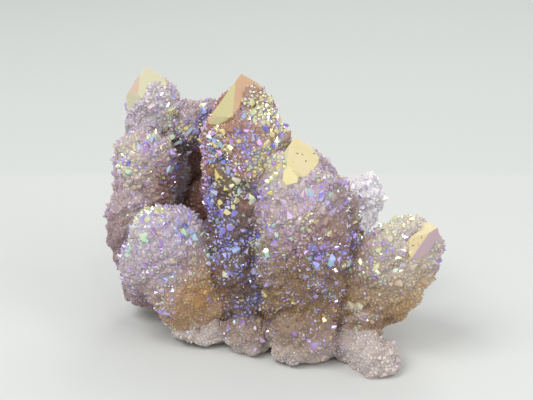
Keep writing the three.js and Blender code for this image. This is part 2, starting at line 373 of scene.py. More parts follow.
class QuartzBodyColours(bpy.types.PropertyGroup):
    """Colours of the quartz under the coating."""

    rust: colour_prop("Rust", "Reddish brown of the centre point", "a8785c")
    umber: colour_prop("Umber", "Brown low on the points", "80603a")
    olive: colour_prop("Olive", "Greenish brown at the foot of the stout point", "94763e")
    lilac: colour_prop("Lilac", "Pale grey lilac", "c8b8ba")
    amber: colour_prop("Amber", "Golden brown of the point that leans out", "a47e44")
    sand: colour_prop("Sand", "Greyish cream", "c8beac")
    ochre: colour_prop("Ochre", "Pale brown at the foot of the left point", "b4946e")
    honey: colour_prop("Honey", "Golden yellow stain", "dca840")
    frost: colour_prop("Frost", "Whitish lilac", "c6b8c0")
    walnut: colour_prop("Walnut", "Reddish grey brown", "8a6c5e")
    blush: colour_prop("Blush", "Pale pinkish brown", "c8b2a8")
    mist: colour_prop("Mist", "Pinkish grey", "bea9aa")
    fog: colour_prop("Fog", "Pale grey", "d6cace")
    # painted shade: bark is the dark brown of the pieces in the deep hollow, standing in for its
    # shade
    bark: colour_prop("Bark", "Brown of the hollow", "88603e")
    # partly painted shade: cocoa is the front cleft's brown, made darker for the shade in the gaps
    # between its crystals
    cocoa: colour_prop("Cocoa", "Dark brown of the front cleft", "70563a")
    stone: colour_prop("Stone", "Greyish brown of the matrix", "a08c76")
    shell: colour_prop("Shell", "Pale pinkish cream of the uncoated base", "d8cac0")
    # painted light: lit_white pales the tops and left sides that the key light falls on
    lit_white: colour_prop("Pearl", "Warm white", "dcd0c8")
    # partly painted light: milk is the milky point's white, made paler still for the light that
    # shines through it
    milk: colour_prop("Milk", "Milky white", "fbf5f8")


class QuartzCoating(bpy.types.PropertyGroup):
    """Interference colours of the coating, in the order of its thickness, and its finish."""

    cream: colour_prop("Cream", "Thinnest coating", "f3e6bc")
    yellow: colour_prop("Yellow", "Thin coating", "ecdc84")
    peach: colour_prop("Peach", "Coating past yellow", "e2bca2")
    violet: colour_prop("Violet", "Middling coating", "c49cd8")
    blue: colour_prop("Blue", "Deep violet blue coating", "8488ea")
    sky: colour_prop("Sky", "Pale blue coating", "b2ccf4")
    mint: colour_prop("Mint", "Blue green coating", "bcf0dc")
    lime: colour_prop("Lime", "Thickest coating", "e2e6ae")
    tint: share_prop("Tint", "How much the coating colours facets that aren't mirrors", 0.06)
    mirror: share_prop("Mirror", "Metallic share of the mirror facets", 0.42)
    # partly painted light: slant also pales the coating on faces turned to the key light
    slant: share_prop("Slant", "How much thicker it is on faces turned to where it came from", 0.08)


class QuartzDruse(bpy.types.PropertyGroup):
    """Sizes of the crust."""

    voxel: length_prop("Voxel", "Grid of the quartz mass", 0.8)
    relief: length_prop("Relief", "Height of the swellings of the quartz mass", 1.7)
    fine: length_prop("Fine", "Width of the fine druse crystals", 0.88)
    middle: length_prop("Middle", "Width of the middling druse crystals", 1.75)
    large: length_prop("Large", "Width of the large druse crystals", 2.5)
    middle_share: share_prop("Middle share", "Share of the tries that are middling crystals", 0.022)
    large_share: share_prop("Large share", "Share of the tries that are large crystals", 0.0005)
    packing: share_prop("Packing", "Distance between crystals over their width", 0.66)
    lean: share_prop("Lean", "How far the crystals lean towards the tip", 0.4)
    tilt: share_prop("Tilt", "How far the crystals stray from their direction", 0.45)
    tries: IntProperty(
        name="Tries", description="Places tried for a crystal", default=300000, min=1
    )
    seed: IntProperty(name="Seed", description="Seed of all random draws", default=7)


class QuartzStage(bpy.types.PropertyGroup):
    """The floor, the lights and the camera."""

    floor: colour_prop("Floor", "Floor near the cluster", "cfd1cf")
    backdrop: colour_prop("Backdrop", "Floor far behind the cluster", "cccfcc")
    horizon: length_prop("Horizon", "Distance behind the cluster where the tone changes", 133)
    distance: length_prop("Distance", "From the camera to its target", 330)
    elevation: FloatProperty(
        name="Elevation", description="Camera above the horizontal", subtype="ANGLE",
        default=math.radians(20),
    )
    lens: FloatProperty(
        name="Lens", description="Focal length in millimetres", default=80.24, min=1
    )
    target: FloatVectorProperty(
        name="Target", description="Where the camera looks", subtype="XYZ", unit="LENGTH",
        default=(Vector((-1.334, -1.688, 37)) - MIDDLE) * MM,
    )
    key: power_prop("Key", "Power of the large soft light in watts", 4.3)
    fill: power_prop("Fill", "Power of the fill light and of the rear light in watts", 1.6)
    spark: power_prop("Spark", "Power of each small light in watts", 0.3)
    ambient: power_prop("Ambient", "Strength of the light from all round", 0.62)


# ---------------------------------------------------------------- shape

FAR = 99.0  # a distance past every edge
WELD = 1e-3  # vertices nearer than this are made one
ON_AXIS = 1e-6  # a smaller radius counts as none


def hexagon(angle):
    """Radius of a hexagon at an angle, over the radius of its corners."""
    across = np.mod(angle, SECTOR) - SECTOR / 2
    return math.cos(SECTOR / 2) / np.cos(across)


def swell(angle, along, seed):
    """How far the crust's radius swells at an angle and a share of the length, over that radius."""
    return sum(w.height * np.sin(w.lobes * angle + w.turn * along + w.phase * seed) for w in WAVES)


def smooth_curve(points, spans=6):
    """Points on the smooth curve through some points, with so many spans from one to the next."""
    p = np.array([points[0], *points, points[-1]], float)
    t = (np.arange(spans) / spans)[:, None]
    pieces = []
    for before, start, end, after in zip(p, p[1:], p[2:], p[3:]):
        pull, push = (end - before) / 2, (after - start) / 2
        cubic = 2 * start - 2 * end + pull + push
        square = -3 * start + 3 * end - 2 * pull - push
        pieces.append(((cubic * t + square) * t + pull) * t + start)
    return np.vstack([*pieces, p[-1:]])


def smooth_step(x):
    """Rises smoothly from 0 to 1 as x does."""
    x = np.clip(x, 0, 1)
    return x * x * (3 - 2 * x)


def scale_across(bm, factors):
    """Scales each vertex's distance from the Z axis by a factor."""
    for vert, factor in zip(bm.verts, factors):
        vert.co.xy *= factor


def cut_off(bm, place, outward):
    """Cuts off what lies beyond a plane, and returns the edges of the cut."""
    cut = bmesh.ops.bisect_plane(
        bm, geom=bm.verts[:] + bm.edges[:] + bm.faces[:], plane_co=place, plane_no=outward,
        clear_outer=True,
    )
    return [e for e in cut["geom_cut"] if isinstance(e, bmesh.types.BMEdge)]


class QuartzPoint:
    """A quartz point in millimetres: a crystal from its foot to its tip, and the crust round it."""

    SPIN_STEPS = 60
    TAPER = 3.0  # length over which the crust thins out towards the bare crystal
    THIN = 0.05  # how much thinner it is there, over the girth
    SINK = 0.2  # how far the covered part of the crystal is drawn in, over the girth
    MARGIN = 0.6  # how far past the bare zone's edge that starts
    FINENESS = 1.4  # longest edge of the crystal's faces
    SPLITS = 6

    def __init__(self, name, spec, seed):
        self.name, self.spec, self.seed, self.look = name, spec, seed, LOOKS[spec.look]
        foot, tip = Vector(spec.foot) - MIDDLE, Vector(spec.tip) - MIDDLE
        self.apex = (tip - foot).length
        self.axis = (tip - foot).normalized()
        stand = Vector((0, 0, 1)).rotation_difference(self.axis)
        self.frame = Matrix.Translation(foot) @ stand.to_matrix().to_4x4()
        self.turn = math.radians(spec.turn)
        self.is_bare = spec.bare is not None
        self.tip_body = spec.tip_body or self.look.high
        top = TOPS[spec.top]
        shoulder = self.apex - top.drop * spec.girth
        rows = [
            (r * spec.girth, h * shoulder + up * spec.girth) for r, h, up in (*BARREL, *top.rows)
        ]
        self.outline = smooth_curve(rows)
        rising = self.outline[: self.outline[:, 1].argmax() + 1]
        self.radii, self.heights = rising[:, 0], rising[:, 1]

    def section(self, facing, height):
        """Radius of the crust at an angle and height, over that of its outline."""
        edged = 1 + HEXAGON * (hexagon(facing - self.turn) - 1)
        return edged * (1 + swell(facing, height / self.apex, self.seed))

    def bare_depth(self, facing):
        """How far down from the tip the crystal is bare at an angle."""
        if not self.is_bare:
            return np.full(np.shape(facing), -FAR)
        everywhere, more, side = self.spec.bare
        return everywhere + more * np.maximum(0, np.cos(facing - math.radians(side))) ** 2

    def local(self, places):
        """Angle, radius and height of places in the point's own frame."""
        back = np.array(self.frame.inverted())
        x, y, z = (places @ back[:3, :3].T + back[:3, 3]).T
        return np.arctan2(y, x), np.hypot(x, y), z

    def measure(self, places):
        """Of places: distance outside the crust, share of the length, distance to the bare zone."""
        facing, radius, height = self.local(places)
        reach = np.interp(height, self.heights, self.radii) * self.section(facing, height)
        beyond = np.maximum(0, np.maximum(-height, height - self.apex))
        outside = np.where(beyond > 0, beyond + np.maximum(0, radius - reach), radius - reach)
        edge = self.apex - height - self.bare_depth(facing)
        return outside, np.clip(height / self.apex, 0, 1), edge

    def crust(self):
        """The closed surface of the crust."""
        bm = bmesh.new()
        verts = [bm.verts.new((radius, 0, height)) for radius, height in self.outline]
        edges = [bm.edges.new(pair) for pair in zip(verts, verts[1:])]
        bmesh.ops.spin(
            bm, geom=verts + edges, axis=(0, 0, 1), cent=(0, 0, 0), dvec=(0, 0, 0),
            angle=2 * math.pi, steps=self.SPIN_STEPS, use_merge=True,
        )
        bmesh.ops.remove_doubles(bm, verts=bm.verts, dist=WELD)
        co = np.array([v.co for v in bm.verts])
        facing, radius = np.arctan2(co[:, 1], co[:, 0]), np.hypot(co[:, 0], co[:, 1])
        edge = self.apex - co[:, 2] - self.bare_depth(facing)
        thinner = self.THIN * self.spec.girth * (1 - smooth_step(edge / self.TAPER))
        wanted = radius * self.section(facing, co[:, 2]) - thinner
        wanted = np.where(edge < 0, wanted - BURY, wanted)
        scale_across(bm, np.maximum(0, wanted) / np.maximum(radius, ON_AXIS))
        bmesh.ops.remove_doubles(bm, verts=bm.verts, dist=WELD)
        bmesh.ops.transform(bm, matrix=self.frame, verts=bm.verts)
        bmesh.ops.recalc_face_normals(bm, faces=bm.faces)
        return bm

    def crystal(self, colour):
        """The six-sided crystal with its termination faces, which carry the coating's phase."""
        radius = self.spec.girth * CRYSTAL
        bm = quartz_prism(radius, radius * CRYSTAL_FOOT, 0, self.apex, self.turn)
        body = bm.faces.layers.float_vector.new("body")
        film = bm.faces.layers.float.new("film")
        pits = bm.faces.layers.float.new("pits")
        for k, setback in enumerate(FACE_SETBACKS):
            for face in cut_termination(bm, self.turn + (k + 0.5) * SECTOR, self.apex, setback):
                face[film] = self.spec.films[k]
                face[pits] = self.spec.pits[k]
        for face in bm.faces:
            face[body] = colour
        self.sink_covered(bm)
        bmesh.ops.transform(bm, matrix=self.frame, verts=bm.verts)
        return bm

    def sink_covered(self, bm):
        """Draws the crystal in under the crust past its bare zone, so that only that shows."""
        for _ in range(self.SPLITS):
            long = [edge for edge in bm.edges if edge.calc_length() > self.FINENESS]
            bmesh.ops.subdivide_edges(bm, edges=long, cuts=1)
            bmesh.ops.triangulate(bm, faces=[face for face in bm.faces if len(face.verts) > 3])
        co = np.array([v.co for v in bm.verts])
        edge = self.apex - co[:, 2] - self.bare_depth(np.arctan2(co[:, 1], co[:, 0]))
        sunk = self.SINK * self.spec.girth * smooth_step((edge - self.MARGIN) / self.TAPER)
        radius = np.hypot(co[:, 0], co[:, 1])
        scale_across(bm, 1 - np.minimum(sunk / np.maximum(radius, ON_AXIS), 1))


class Lump:
    """A rounded lump of the matrix, in millimetres. It has no bare zone."""

    TURN = math.pi / 2  # of its swellings, against those of a point
    SEGMENTS, RINGS = 48, 28

    is_bare = False

    def __init__(self, name, spec, seed):
        self.name, self.spec, self.seed, self.look = name, spec, seed, LOOKS[spec.look]
        self.at = Vector(spec.at) - MIDDLE
        self.half = np.array(spec.half, float)
        self.axis = Vector((0, 0, 1))

    def measure(self, places):
        """Of places: distance outside the lump, share of its height, distance to a bare zone."""
        local = (places - np.array(self.at)) / self.half
        angle = np.arctan2(local[:, 1], local[:, 0])
        factor = 1 + swell(angle + self.TURN, np.clip(local[:, 2], -1, 1), self.seed)
        local[:, :2] /= factor[:, None]
        outside = (np.linalg.norm(local, axis=1) - 1) * self.half.min()
        return outside, np.clip((local[:, 2] + 1) / 2, 0, 1), np.full(len(places), FAR)

    def crust(self):
        """The closed surface of the lump."""
        bm = bmesh.new()
        bmesh.ops.create_uvsphere(bm, u_segments=self.SEGMENTS, v_segments=self.RINGS, radius=1)
        for vert in bm.verts:
            angle = math.atan2(vert.co.y, vert.co.x)
            vert.co.xy *= 1 + swell(angle + self.TURN, vert.co.z, self.seed)
        bmesh.ops.scale(bm, vec=self.half, verts=bm.verts)
        bmesh.ops.translate(bm, vec=self.at, verts=bm.verts)
        return bm


def quartz_prism(top, bottom, low, high, turn):
    """A closed six-sided prism with an edge at the angle turn."""
    bm = bmesh.new()
    bmesh.ops.create_cone(
        bm, cap_ends=True, cap_tris=False, segments=FACES, radius1=bottom, radius2=top,
        depth=high - low,
    )
    upright = Matrix.Rotation(turn + SECTOR / 2, 3, "Z")
    bmesh.ops.rotate(bm, cent=(0, 0, 0), matrix=upright, verts=bm.verts)
    bmesh.ops.translate(bm, vec=(0, 0, (high + low) / 2), verts=bm.verts)
    return bm


def cut_termination(bm, azimuth, apex, setback):
    """Cuts a termination face that leans in at an angle about the axis, and returns it."""
    level, steep = math.cos(FACE_ANGLE), math.sin(FACE_ANGLE)
    outward = Vector((level * math.cos(azimuth), level * math.sin(azimuth), steep))
    rim = cut_off(bm, Vector((0, 0, apex)) + outward * setback, outward)
    return bmesh.ops.edgeloop_fill(bm, edges=rim)["faces"] if rim else []


def grown_pieces():
    """All points and lumps of the mass."""
    return (
        *(QuartzPoint(name, spec, k) for k, (name, spec) in enumerate(POINTS.items(), 1)),
        *(Lump(name, spec, k) for k, (name, spec) in enumerate(LUMPS.items(), LUMP_SEED)),
    )


# ---------------------------------------------------------------- meshes and objects


def add_object(name, mesh, material):
    """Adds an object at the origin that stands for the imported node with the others."""
    for old in [o for o in bpy.data.objects if o.name == name]:
        bpy.data.objects.remove(old)
    obj = bpy.data.objects.new(name, mesh)
    bpy.context.scene.collection.objects.link(obj)
    mesh.materials.append(material)
    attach(obj, BODY)
    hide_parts(NODE)


def as_mesh(name, bm):
    """A mesh of a bmesh, which is freed."""
    mesh = bpy.data.meshes.new(name)
    bm.to_mesh(mesh)
    bm.free()
    return mesh


def joined_mesh(name, parts):
    """One mesh of several bmeshes, which are freed."""
    whole = bmesh.new()
    for part in parts:
        piece = as_mesh("part", part)
        whole.from_mesh(piece)
        bpy.data.meshes.remove(piece)
    return as_mesh(name, whole)


def read_rows(items, name, kind=np.float32):
    """What all vertices, faces or triangles of a mesh have under a name, three numbers a row."""
    values = np.empty(len(items) * 3, kind)
    items.foreach_get(name, values)
    return values.reshape(-1, 3)


def set_attribute(mesh, name, kind, domain, values):
    """Gives a mesh an attribute with its values."""
    attribute = mesh.attributes.new(name, kind, domain)
    field = "vector" if kind == "FLOAT_VECTOR" else "value"
    attribute.data.foreach_set(field, np.ascontiguousarray(values, np.float32).ravel())


def set_look(mesh, domain, body, film, gleam, chance):
    """Sets what the quartz materials read at the vertices or faces of a mesh."""
    set_attribute(mesh, "body", "FLOAT_VECTOR", domain, body)
    for name, values in (("film", film), ("gleam", gleam), ("chance", chance)):
        set_attribute(mesh, name, "FLOAT", domain, values)


# ---------------------------------------------------------------- quartz mass

RELIEF = ((9, 1.0), (4, 0.7), (1.7, 0.3))  # spans of the swellings and their shares of the relief
ROW_RELIEF = 0.12  # and the share of the growth rows
ROW_SPACING = 3.1  # from one growth row to the next
ROW_SLOPE = Vector((-0.5, 0.1, 0.86)).normalized()  # across the rows
ROW_STRAY = 0.9  # how far the rows stray, over their spacing
ROW_SPAN = 9  # and the span of that


def row(place):
    """Growth rows that climb across the points: 1 at a place on a row's crest, -1 between rows."""
    turns = place.dot(ROW_SLOPE) / ROW_SPACING + ROW_STRAY * noise.noise(place / ROW_SPAN)
    return math.sin(2 * math.pi * turns)


def rise_at(place):
    """How far the mass is swollen at a place, over its relief."""
    swellings = sum(share * noise.noise(place / span) for span, share in RELIEF)
    return swellings + ROW_RELIEF * row(place)


def outside_shell(bm):
    """Deletes every closed shell but the largest: the others are sealed inside."""
    unseen, shells = set(bm.verts), []
    while unseen:
        shell, edge = set(), [unseen.pop()]
        while edge:
            vert = edge.pop()
            shell.add(vert)
            for link in vert.link_edges:
                other = link.other_vert(vert)
                if other in unseen:
                    unseen.discard(other)
                    edge.append(other)
        shells.append(shell)
    shells.sort(key=len)
    inner = [vert for shell in shells[:-1] for vert in shell]
    bmesh.ops.delete(bm, geom=inner, context="VERTS")


def quartz_mass(grown, voxel, relief):
    """The mass that the druse grows on: all crusts as one closed surface with relief."""
    shells = joined_mesh("quartz_shells", [piece.crust() for piece in grown])
    carrier = bpy.data.objects.new("quartz_shells", shells)
    bpy.context.scene.collection.objects.link(carrier)
    remesh = carrier.modifiers.new("Union", "REMESH")
    remesh.mode = "VOXEL"
    remesh.voxel_size = voxel
    shape = carrier.evaluated_get(bpy.context.evaluated_depsgraph_get())
    bm = bmesh.new()
    bm.from_mesh(shape.to_mesh())
    bpy.data.objects.remove(carrier)
    bpy.data.meshes.remove(shells)
    outside_shell(bm)
    bm.normal_update()
    moves = [rise_at(v.co) * relief * v.normal for v in bm.verts]
    for vert, move in zip(bm.verts, moves):
        vert.co += move
    rim = cut_off(bm, (0, 0, 0), (0, 0, -1))
    bmesh.ops.holes_fill(bm, edges=rim, sides=0)
    return as_mesh("quartz_mass", bm)


def grown_mass():
    """The mass that stands in the scene."""
    mass = bpy.data.objects.get("quartz_mass")
    if mass is None:
        raise RuntimeError("grow the quartz mass first")
    return mass


# ---------------------------------------------------------------- what each place looks like

Places = namedtuple("Places", "owner along edge")

# Shares of a piece's length: where the look of its foot starts to change, and over how much of it.
CHANGE_FROM, CHANGE_OVER = 0.15, 0.7


def locate(places, grown):
    """For places: the grown piece that each is nearest to, and where on it the place is."""
    outside, along, edge = (np.array(rows) for rows in zip(*(p.measure(places) for p in grown)))
    owner = np.abs(outside).argmin(axis=0)
    pick = owner, np.arange(len(places))
    return Places(owner, along[pick], edge[pick])


def only(where, chosen):
    """The chosen ones of located places."""
    return Places(*(field[chosen] for field in where))


def of_owner(grown, where, name):
    """What the grown piece that each place is on has under a dotted name."""
    return np.array([attrgetter(name)(piece) for piece in grown])[where.owner]


def noise_at(places, span, shift=(0, 0, 0)):
    """Smooth noise at each place, which changes over a span."""
    return np.array([noise.noise(Vector(place) / span + Vector(shift)) for place in places])


def nearness(places, spot):
    """How near places are to the middle of a body spot or patch: 1 there, and less over its radius.
    """
    middle = np.array(Vector(spot.at) - MIDDLE)
    return np.exp(-((np.linalg.norm(places - middle, axis=1) / spot.radius) ** 2))


def patched(places, film, gleam, rng):
    """Film phase and gleam of crystals, changed in the patches."""
    for patch in PATCHES:
        near = nearness(places, patch)
        film = np.where(rng.random(len(places)) < near, patch.film, film)
        gleam = gleam * (1 + (patch.gleam - 1) * near)
    return film, gleam


def look_at(places, grown, where, colours):
    """Body colour, film phase, share of odd crystals and gleam at places on the grown pieces."""
    low, high = (
        np.array([getattr(colours, getattr(piece.look, end)) for piece in grown])[where.owner]
        for end in ("low", "high")
    )
    film_low, film_high, odd, gleam = (
        of_owner(grown, where, f"look.{name}") for name in ("film_low", "film_high", "odd", "gleam")
    )
    change = smooth_step((where.along - CHANGE_FROM) / CHANGE_OVER)
    body = low + (high - low) * change[:, None]
    for body_spot in STAINS_AND_PAINTED_LIGHT:
        share = body_spot.strength * nearness(places, body_spot)[:, None]
        body = body + (np.array(getattr(colours, body_spot.colour)) - body) * share
    return body, film_low + (film_high - film_low) * change, odd, gleam


# ---------------------------------------------------------------- druse

# A crystal that is repeated: its vertices, its faces' corners, where each face starts, and their
# normals.
Template = namedtuple("Template", "verts loops starts normals")

# Druse crystals have a width of 1. Most are a bare pyramid of termination faces, and the large ones
# that are listed one by one have a prism under it. Each row has how far each termination face is
# set in or out.
HALF = 0.5
PYRAMID_HEIGHT = HALF * math.cos(SECTOR / 2) / math.tan(FACE_ANGLE)
PYRAMID_ROOT = -0.12
PYRAMIDS = (
    (0, 0, 0, 0, 0, 0),
    (-0.09, 0, 0, 0, 0, 0),
    (-0.06, 0, 0, -0.09, 0, 0),
    (-0.1, 0, -0.05, 0, -0.07, 0),
)
PRISM_FOOT = 0.46  # its radius at the root
PRISM_ROOT = -0.8
PRISM_SUMMIT = 0.55
PRISMS = (
    (0, 0.1, 0.14, 0.22, 0.12, 0.13),
    (0, 0.02, 0.14, 0.22, 0.1, 0.12),
    (0, 0.01, 0.1, 0.2, 0.1, 0.03),
)
TEMPLATE_WELD = 1e-4  # its vertices nearer than this are made one
NO_LENGTH = 1e-9  # the least length that a vector is divided by


def as_template(bm):
    """A closed bmesh as a template. The bmesh is freed."""
    bmesh.ops.remove_doubles(bm, verts=bm.verts, dist=TEMPLATE_WELD)
    bmesh.ops.recalc_face_normals(bm, faces=bm.faces)
    bm.verts.index_update()
    verts = np.array([v.co for v in bm.verts])
    faces = [[v.index for v in face.verts] for face in bm.faces]
    normals = np.array([face.normal for face in bm.faces])
    bm.free()
    starts = np.cumsum([0, *map(len, faces)])[:-1]
    return Template(verts, np.concatenate(faces), starts, normals)


def pyramid_template(setbacks):
    """A pyramid of six termination faces."""
    apex = PYRAMID_ROOT + PYRAMID_HEIGHT
    bm = quartz_prism(0, HALF, PYRAMID_ROOT, apex, 0)
    for k, setback in enumerate(setbacks):
        if setback:
            cut_termination(bm, (k + 0.5) * SECTOR, apex, setback)
    return as_template(bm)


def prism_template(setbacks):
    """A prism whose first termination face is turned to +X."""
    bm = quartz_prism(HALF, PRISM_FOOT, PRISM_ROOT, PRISM_SUMMIT, -SECTOR / 2)
    for k, setback in enumerate(setbacks):
        cut_termination(bm, k * SECTOR, PRISM_SUMMIT, setback)
    return as_template(bm)


def surface_samples(mesh, count, rng):
    """Random places spread evenly over a mesh, with their normals."""
    mesh.calc_loop_triangles()
    corners = read_rows(mesh.loop_triangles, "vertices", np.int32)
    co, normals = (read_rows(mesh.vertices, name)[corners] for name in ("co", "normal"))
    areas = np.linalg.norm(np.cross(co[:, 1] - co[:, 0], co[:, 2] - co[:, 0]), axis=1)
    picks = rng.choice(len(areas), count, p=areas / areas.sum())
    root, across = np.sqrt(rng.random(count)), rng.random(count)
    weights = np.stack([1 - root, root * (1 - across), root * across], axis=1)[:, :, None]
    return (co[picks] * weights).sum(axis=1), (normals[picks] * weights).sum(axis=1)


def unit(vectors):
    """Vectors made one long."""
    return vectors / np.maximum(np.linalg.norm(vectors, axis=1, keepdims=True), NO_LENGTH)


def square_to(vectors, axes):
    """The unit vectors nearest to some vectors that are square to their unit axes."""
    return unit(vectors - (vectors * axes).sum(axis=1, keepdims=True) * axes)


def spaced(places, widths, packing):
    """Numbers of the places that are kept: the widest first, each clear of those kept before."""
    tree = kdtree.KDTree(len(places))
    for number, place in enumerate(places):
        tree.insert(place, number)
    tree.balance()
    dropped = np.zeros(len(places), bool)
    kept = []
    for number in np.argsort(-widths, kind="stable"):
        if dropped[number]:
            continue
        kept.append(number)
        width = widths[number]
        for _, other, distance in tree.find_range(places[number], width * packing):
            if distance < (width + widths[other]) / 2 * packing:
                dropped[other] = True
    return np.array(kept)


def druse_mesh(name, template_frames, looks):
    """One mesh of many crystals. Each template comes with the frames and looks of its crystals.

    The second result has the looks of the mesh's faces. No crystal reaches under the floor.
    """
    verts, loops, starts, attributes = [], [], [], {key: [] for key in looks[0]}
    vert_count = loop_count = 0
    for (template, frames), look in zip(template_frames, looks):
        number = len(frames)
        placed = np.einsum("nij,vj->nvi", frames[:, :, :3], template.verts) + frames[:, None, :, 3]
        placed[:, :, 2] = np.maximum(placed[:, :, 2], 0)
        verts.append(placed.reshape(-1, 3))
        shift = np.arange(number)[:, None]
        loops.append((template.loops + shift * len(template.verts) + vert_count).ravel())
        starts.append((template.starts + shift * len(template.loops) + loop_count).ravel())
        vert_count += number * len(template.verts)
        loop_count += number * len(template.loops)
        for key, values in look.items():
            attributes[key].append(np.repeat(values, len(template.starts), axis=0))
    mesh = bpy.data.meshes.new(name)
    mesh.vertices.add(vert_count)
    mesh.vertices.foreach_set("co", (np.vstack(verts) * MM).astype(np.float32).ravel())
    mesh.loops.add(loop_count)
    mesh.loops.foreach_set("vertex_index", np.concatenate(loops).astype(np.int32))
    mesh.polygons.add(sum(len(s) for s in starts))
    mesh.polygons.foreach_set("loop_start", np.concatenate(starts).astype(np.int32))
    mesh.update(calc_edges=True)
    mesh.shade_flat()
    return mesh, {key: np.concatenate(values) for key, values in attributes.items()}


# ---------------------------------------------------------------- materials

# Phases of the coating's colours.
FILM_PHASES = {
    "cream": 0.0, "yellow": 0.12, "peach": 0.27, "violet": 0.42,
    "blue": 0.54, "sky": 0.64, "mint": 0.78, "lime": 0.92,
}
CLOUD_SCALE, CLOUDS = 260, 0.12  # the phase wanders by so much from place to place
MIRROR_EDGE = 12.0  # how sharply facets turn to mirrors
PAINTED_GLINT_SHARE = 0.8  # share of painted white glint in a mirror facet whose chance is equal to its gleam
PAINTED_GLINT_CURVE = 2.0
# colour of the painted glints
PAINTED_GLINT_WHITE = (0.86, 0.88, 0.92, 1)
GRAIN_SCALE, GRAIN = 700, 0.3  # of the body colour
GRAIN_COLOUR = (0.45, 0.36, 0.34, 1)
DULL, POLISH = 0.5, 0.32  # roughness of the body, and how much less it is on the mirror facets

IOR = 1.6
TRANSLUCENCY = 0.4
SCATTER = (1.0, 0.6, 0.5)  # how far each colour of light spreads under the surface, in millimetres
BUMP_SCALE = 900
PIT_SCALE = 900.0
PIT_REACH = 0.2  # of a pit from its middle, over the distance between middles
PIT_EDGE_SCALE, PIT_EDGE = 2600, 0.9  # how ragged its edge is
PIT_COLOUR = (0.16, 0.11, 0.07, 1)


class Shader:
    """A node tree being built."""

    def __init__(self, tree):
        self.tree = tree

    def add(self, kind, inputs=None, **settings):
        """A node with its settings, and its inputs linked from sockets or set to values."""
        node = self.tree.nodes.new(kind)
        for key, value in settings.items():
            setattr(node, key, value)
        for key, value in (inputs or {}).items():
            if isinstance(value, bpy.types.NodeSocket):
                self.tree.links.new(value, node.inputs[key])
            else:
                node.inputs[key].default_value = value
        return node

    def attribute(self, name, output="Fac"):
        """An attribute of the mesh."""
        return self.add("ShaderNodeAttribute", attribute_name=name).outputs[output]

    def math(self, operation, first, second, clamp=False):
        """The result of a Math node with two inputs."""
        inputs = {0: first, 1: second}
        return self.add("ShaderNodeMath", inputs, operation=operation, use_clamp=clamp).outputs[0]

    def scaled(self, value, factor, shift, clamp=False):
        """A value times a factor, plus a shift."""
        inputs = {0: value, 1: factor, 2: shift}
        node = self.add("ShaderNodeMath", inputs, operation="MULTIPLY_ADD", use_clamp=clamp)
        return node.outputs[0]

    def mix(self, factor, first, second, blend="MIX"):
        """Two colours mixed. A Mix node's colour sockets are inputs 6 and 7 and output 2."""
        inputs = {0: factor, 6: first, 7: second}
        node = self.add("ShaderNodeMix", inputs, data_type="RGBA", blend_type=blend)
        return node.outputs[2]

    def ramp(self, factor, stops):
        """A colour ramp with its stops as positions and colours."""
        node = self.add("ShaderNodeValToRGB", {0: factor})
        elements = node.color_ramp.elements
        while len(elements) > 1:
            elements.remove(elements[-1])
        for k, (position, colour) in enumerate(stops):
            element = elements[0] if k == 0 else elements.new(position)
            element.position = position
            element.color = (*colour, 1)
        return node.outputs[0]

    def here(self):
        """The place on the object."""
        return self.add("ShaderNodeTexCoord").outputs["Object"]

    def noise(self, scale, detail):
        """Noise between 0 and 1 on the object."""
        inputs = {"Vector": self.here(), "Scale": scale, "Detail": detail}
        return self.add("ShaderNodeTexNoise", inputs).outputs["Fac"]


def new_group(name, inputs, outputs):
    """An empty node group with named sockets, and its input and output nodes' sockets."""
    tree = bpy.data.node_groups.new(name, "ShaderNodeTree")
    for socket, kind, value in inputs:
        made = tree.interface.new_socket(socket, in_out="INPUT", socket_type=kind)
        made.default_value = value
    for socket, kind in outputs:
        tree.interface.new_socket(socket, in_out="OUTPUT", socket_type=kind)
    shader = Shader(tree)
    return shader, shader.add("NodeGroupInput").outputs, shader.add("NodeGroupOutput").inputs


def aura_group(coating):
    """Interference colour over a body colour. Facets with less chance than gleam are mirrors, with
    a painted white glint mixed into their colour besides what they really reflect.
    """
    shader, given, out = new_group(
        "Aura Coating",
        [("Body", "NodeSocketColor", (0.5, 0.5, 0.5, 1)), ("Film", "NodeSocketFloat", 0.5),
         ("Chance", "NodeSocketFloat", 0.5), ("Gleam", "NodeSocketFloat", 0.3)],
        [("Color", "NodeSocketColor"), ("Metallic", "NodeSocketFloat"),
         ("Roughness", "NodeSocketFloat")],
    )
    clouds = shader.scaled(shader.noise(CLOUD_SCALE, detail=1), CLOUDS, -CLOUDS / 2)
    phase = shader.math("FRACT", shader.math("ADD", given["Film"], clouds), 0)
    film = shader.ramp(phase, [(at, getattr(coating, name)) for name, at in FILM_PHASES.items()])
    mask = shader.math("SUBTRACT", given["Gleam"], given["Chance"])
    mask = shader.scaled(mask, MIRROR_EDGE, 0.5, clamp=True)
    luck = shader.math("DIVIDE", given["Chance"], given["Gleam"], clamp=True)
    white = shader.math("MULTIPLY", shader.math("POWER", luck, PAINTED_GLINT_CURVE), PAINTED_GLINT_SHARE)
    bright = shader.mix(white, film, PAINTED_GLINT_WHITE)
    grain = shader.math("MULTIPLY", shader.noise(GRAIN_SCALE, detail=3), GRAIN)
    body = shader.mix(grain, given["Body"], GRAIN_COLOUR, "MULTIPLY")
    tinted = shader.mix(coating.tint, body, film)
    for socket, value in (
        ("Color", shader.mix(mask, tinted, bright)),
        ("Metallic", shader.math("MULTIPLY", mask, coating.mirror)),
        ("Roughness", shader.scaled(mask, -POLISH, DULL)),
    ):
        shader.tree.links.new(value, out[socket])
    return shader.tree


def shared_group(coating):
    """The aura coating's group, which is built once."""
    return bpy.data.node_groups.get("Aura Coating") or aura_group(coating)


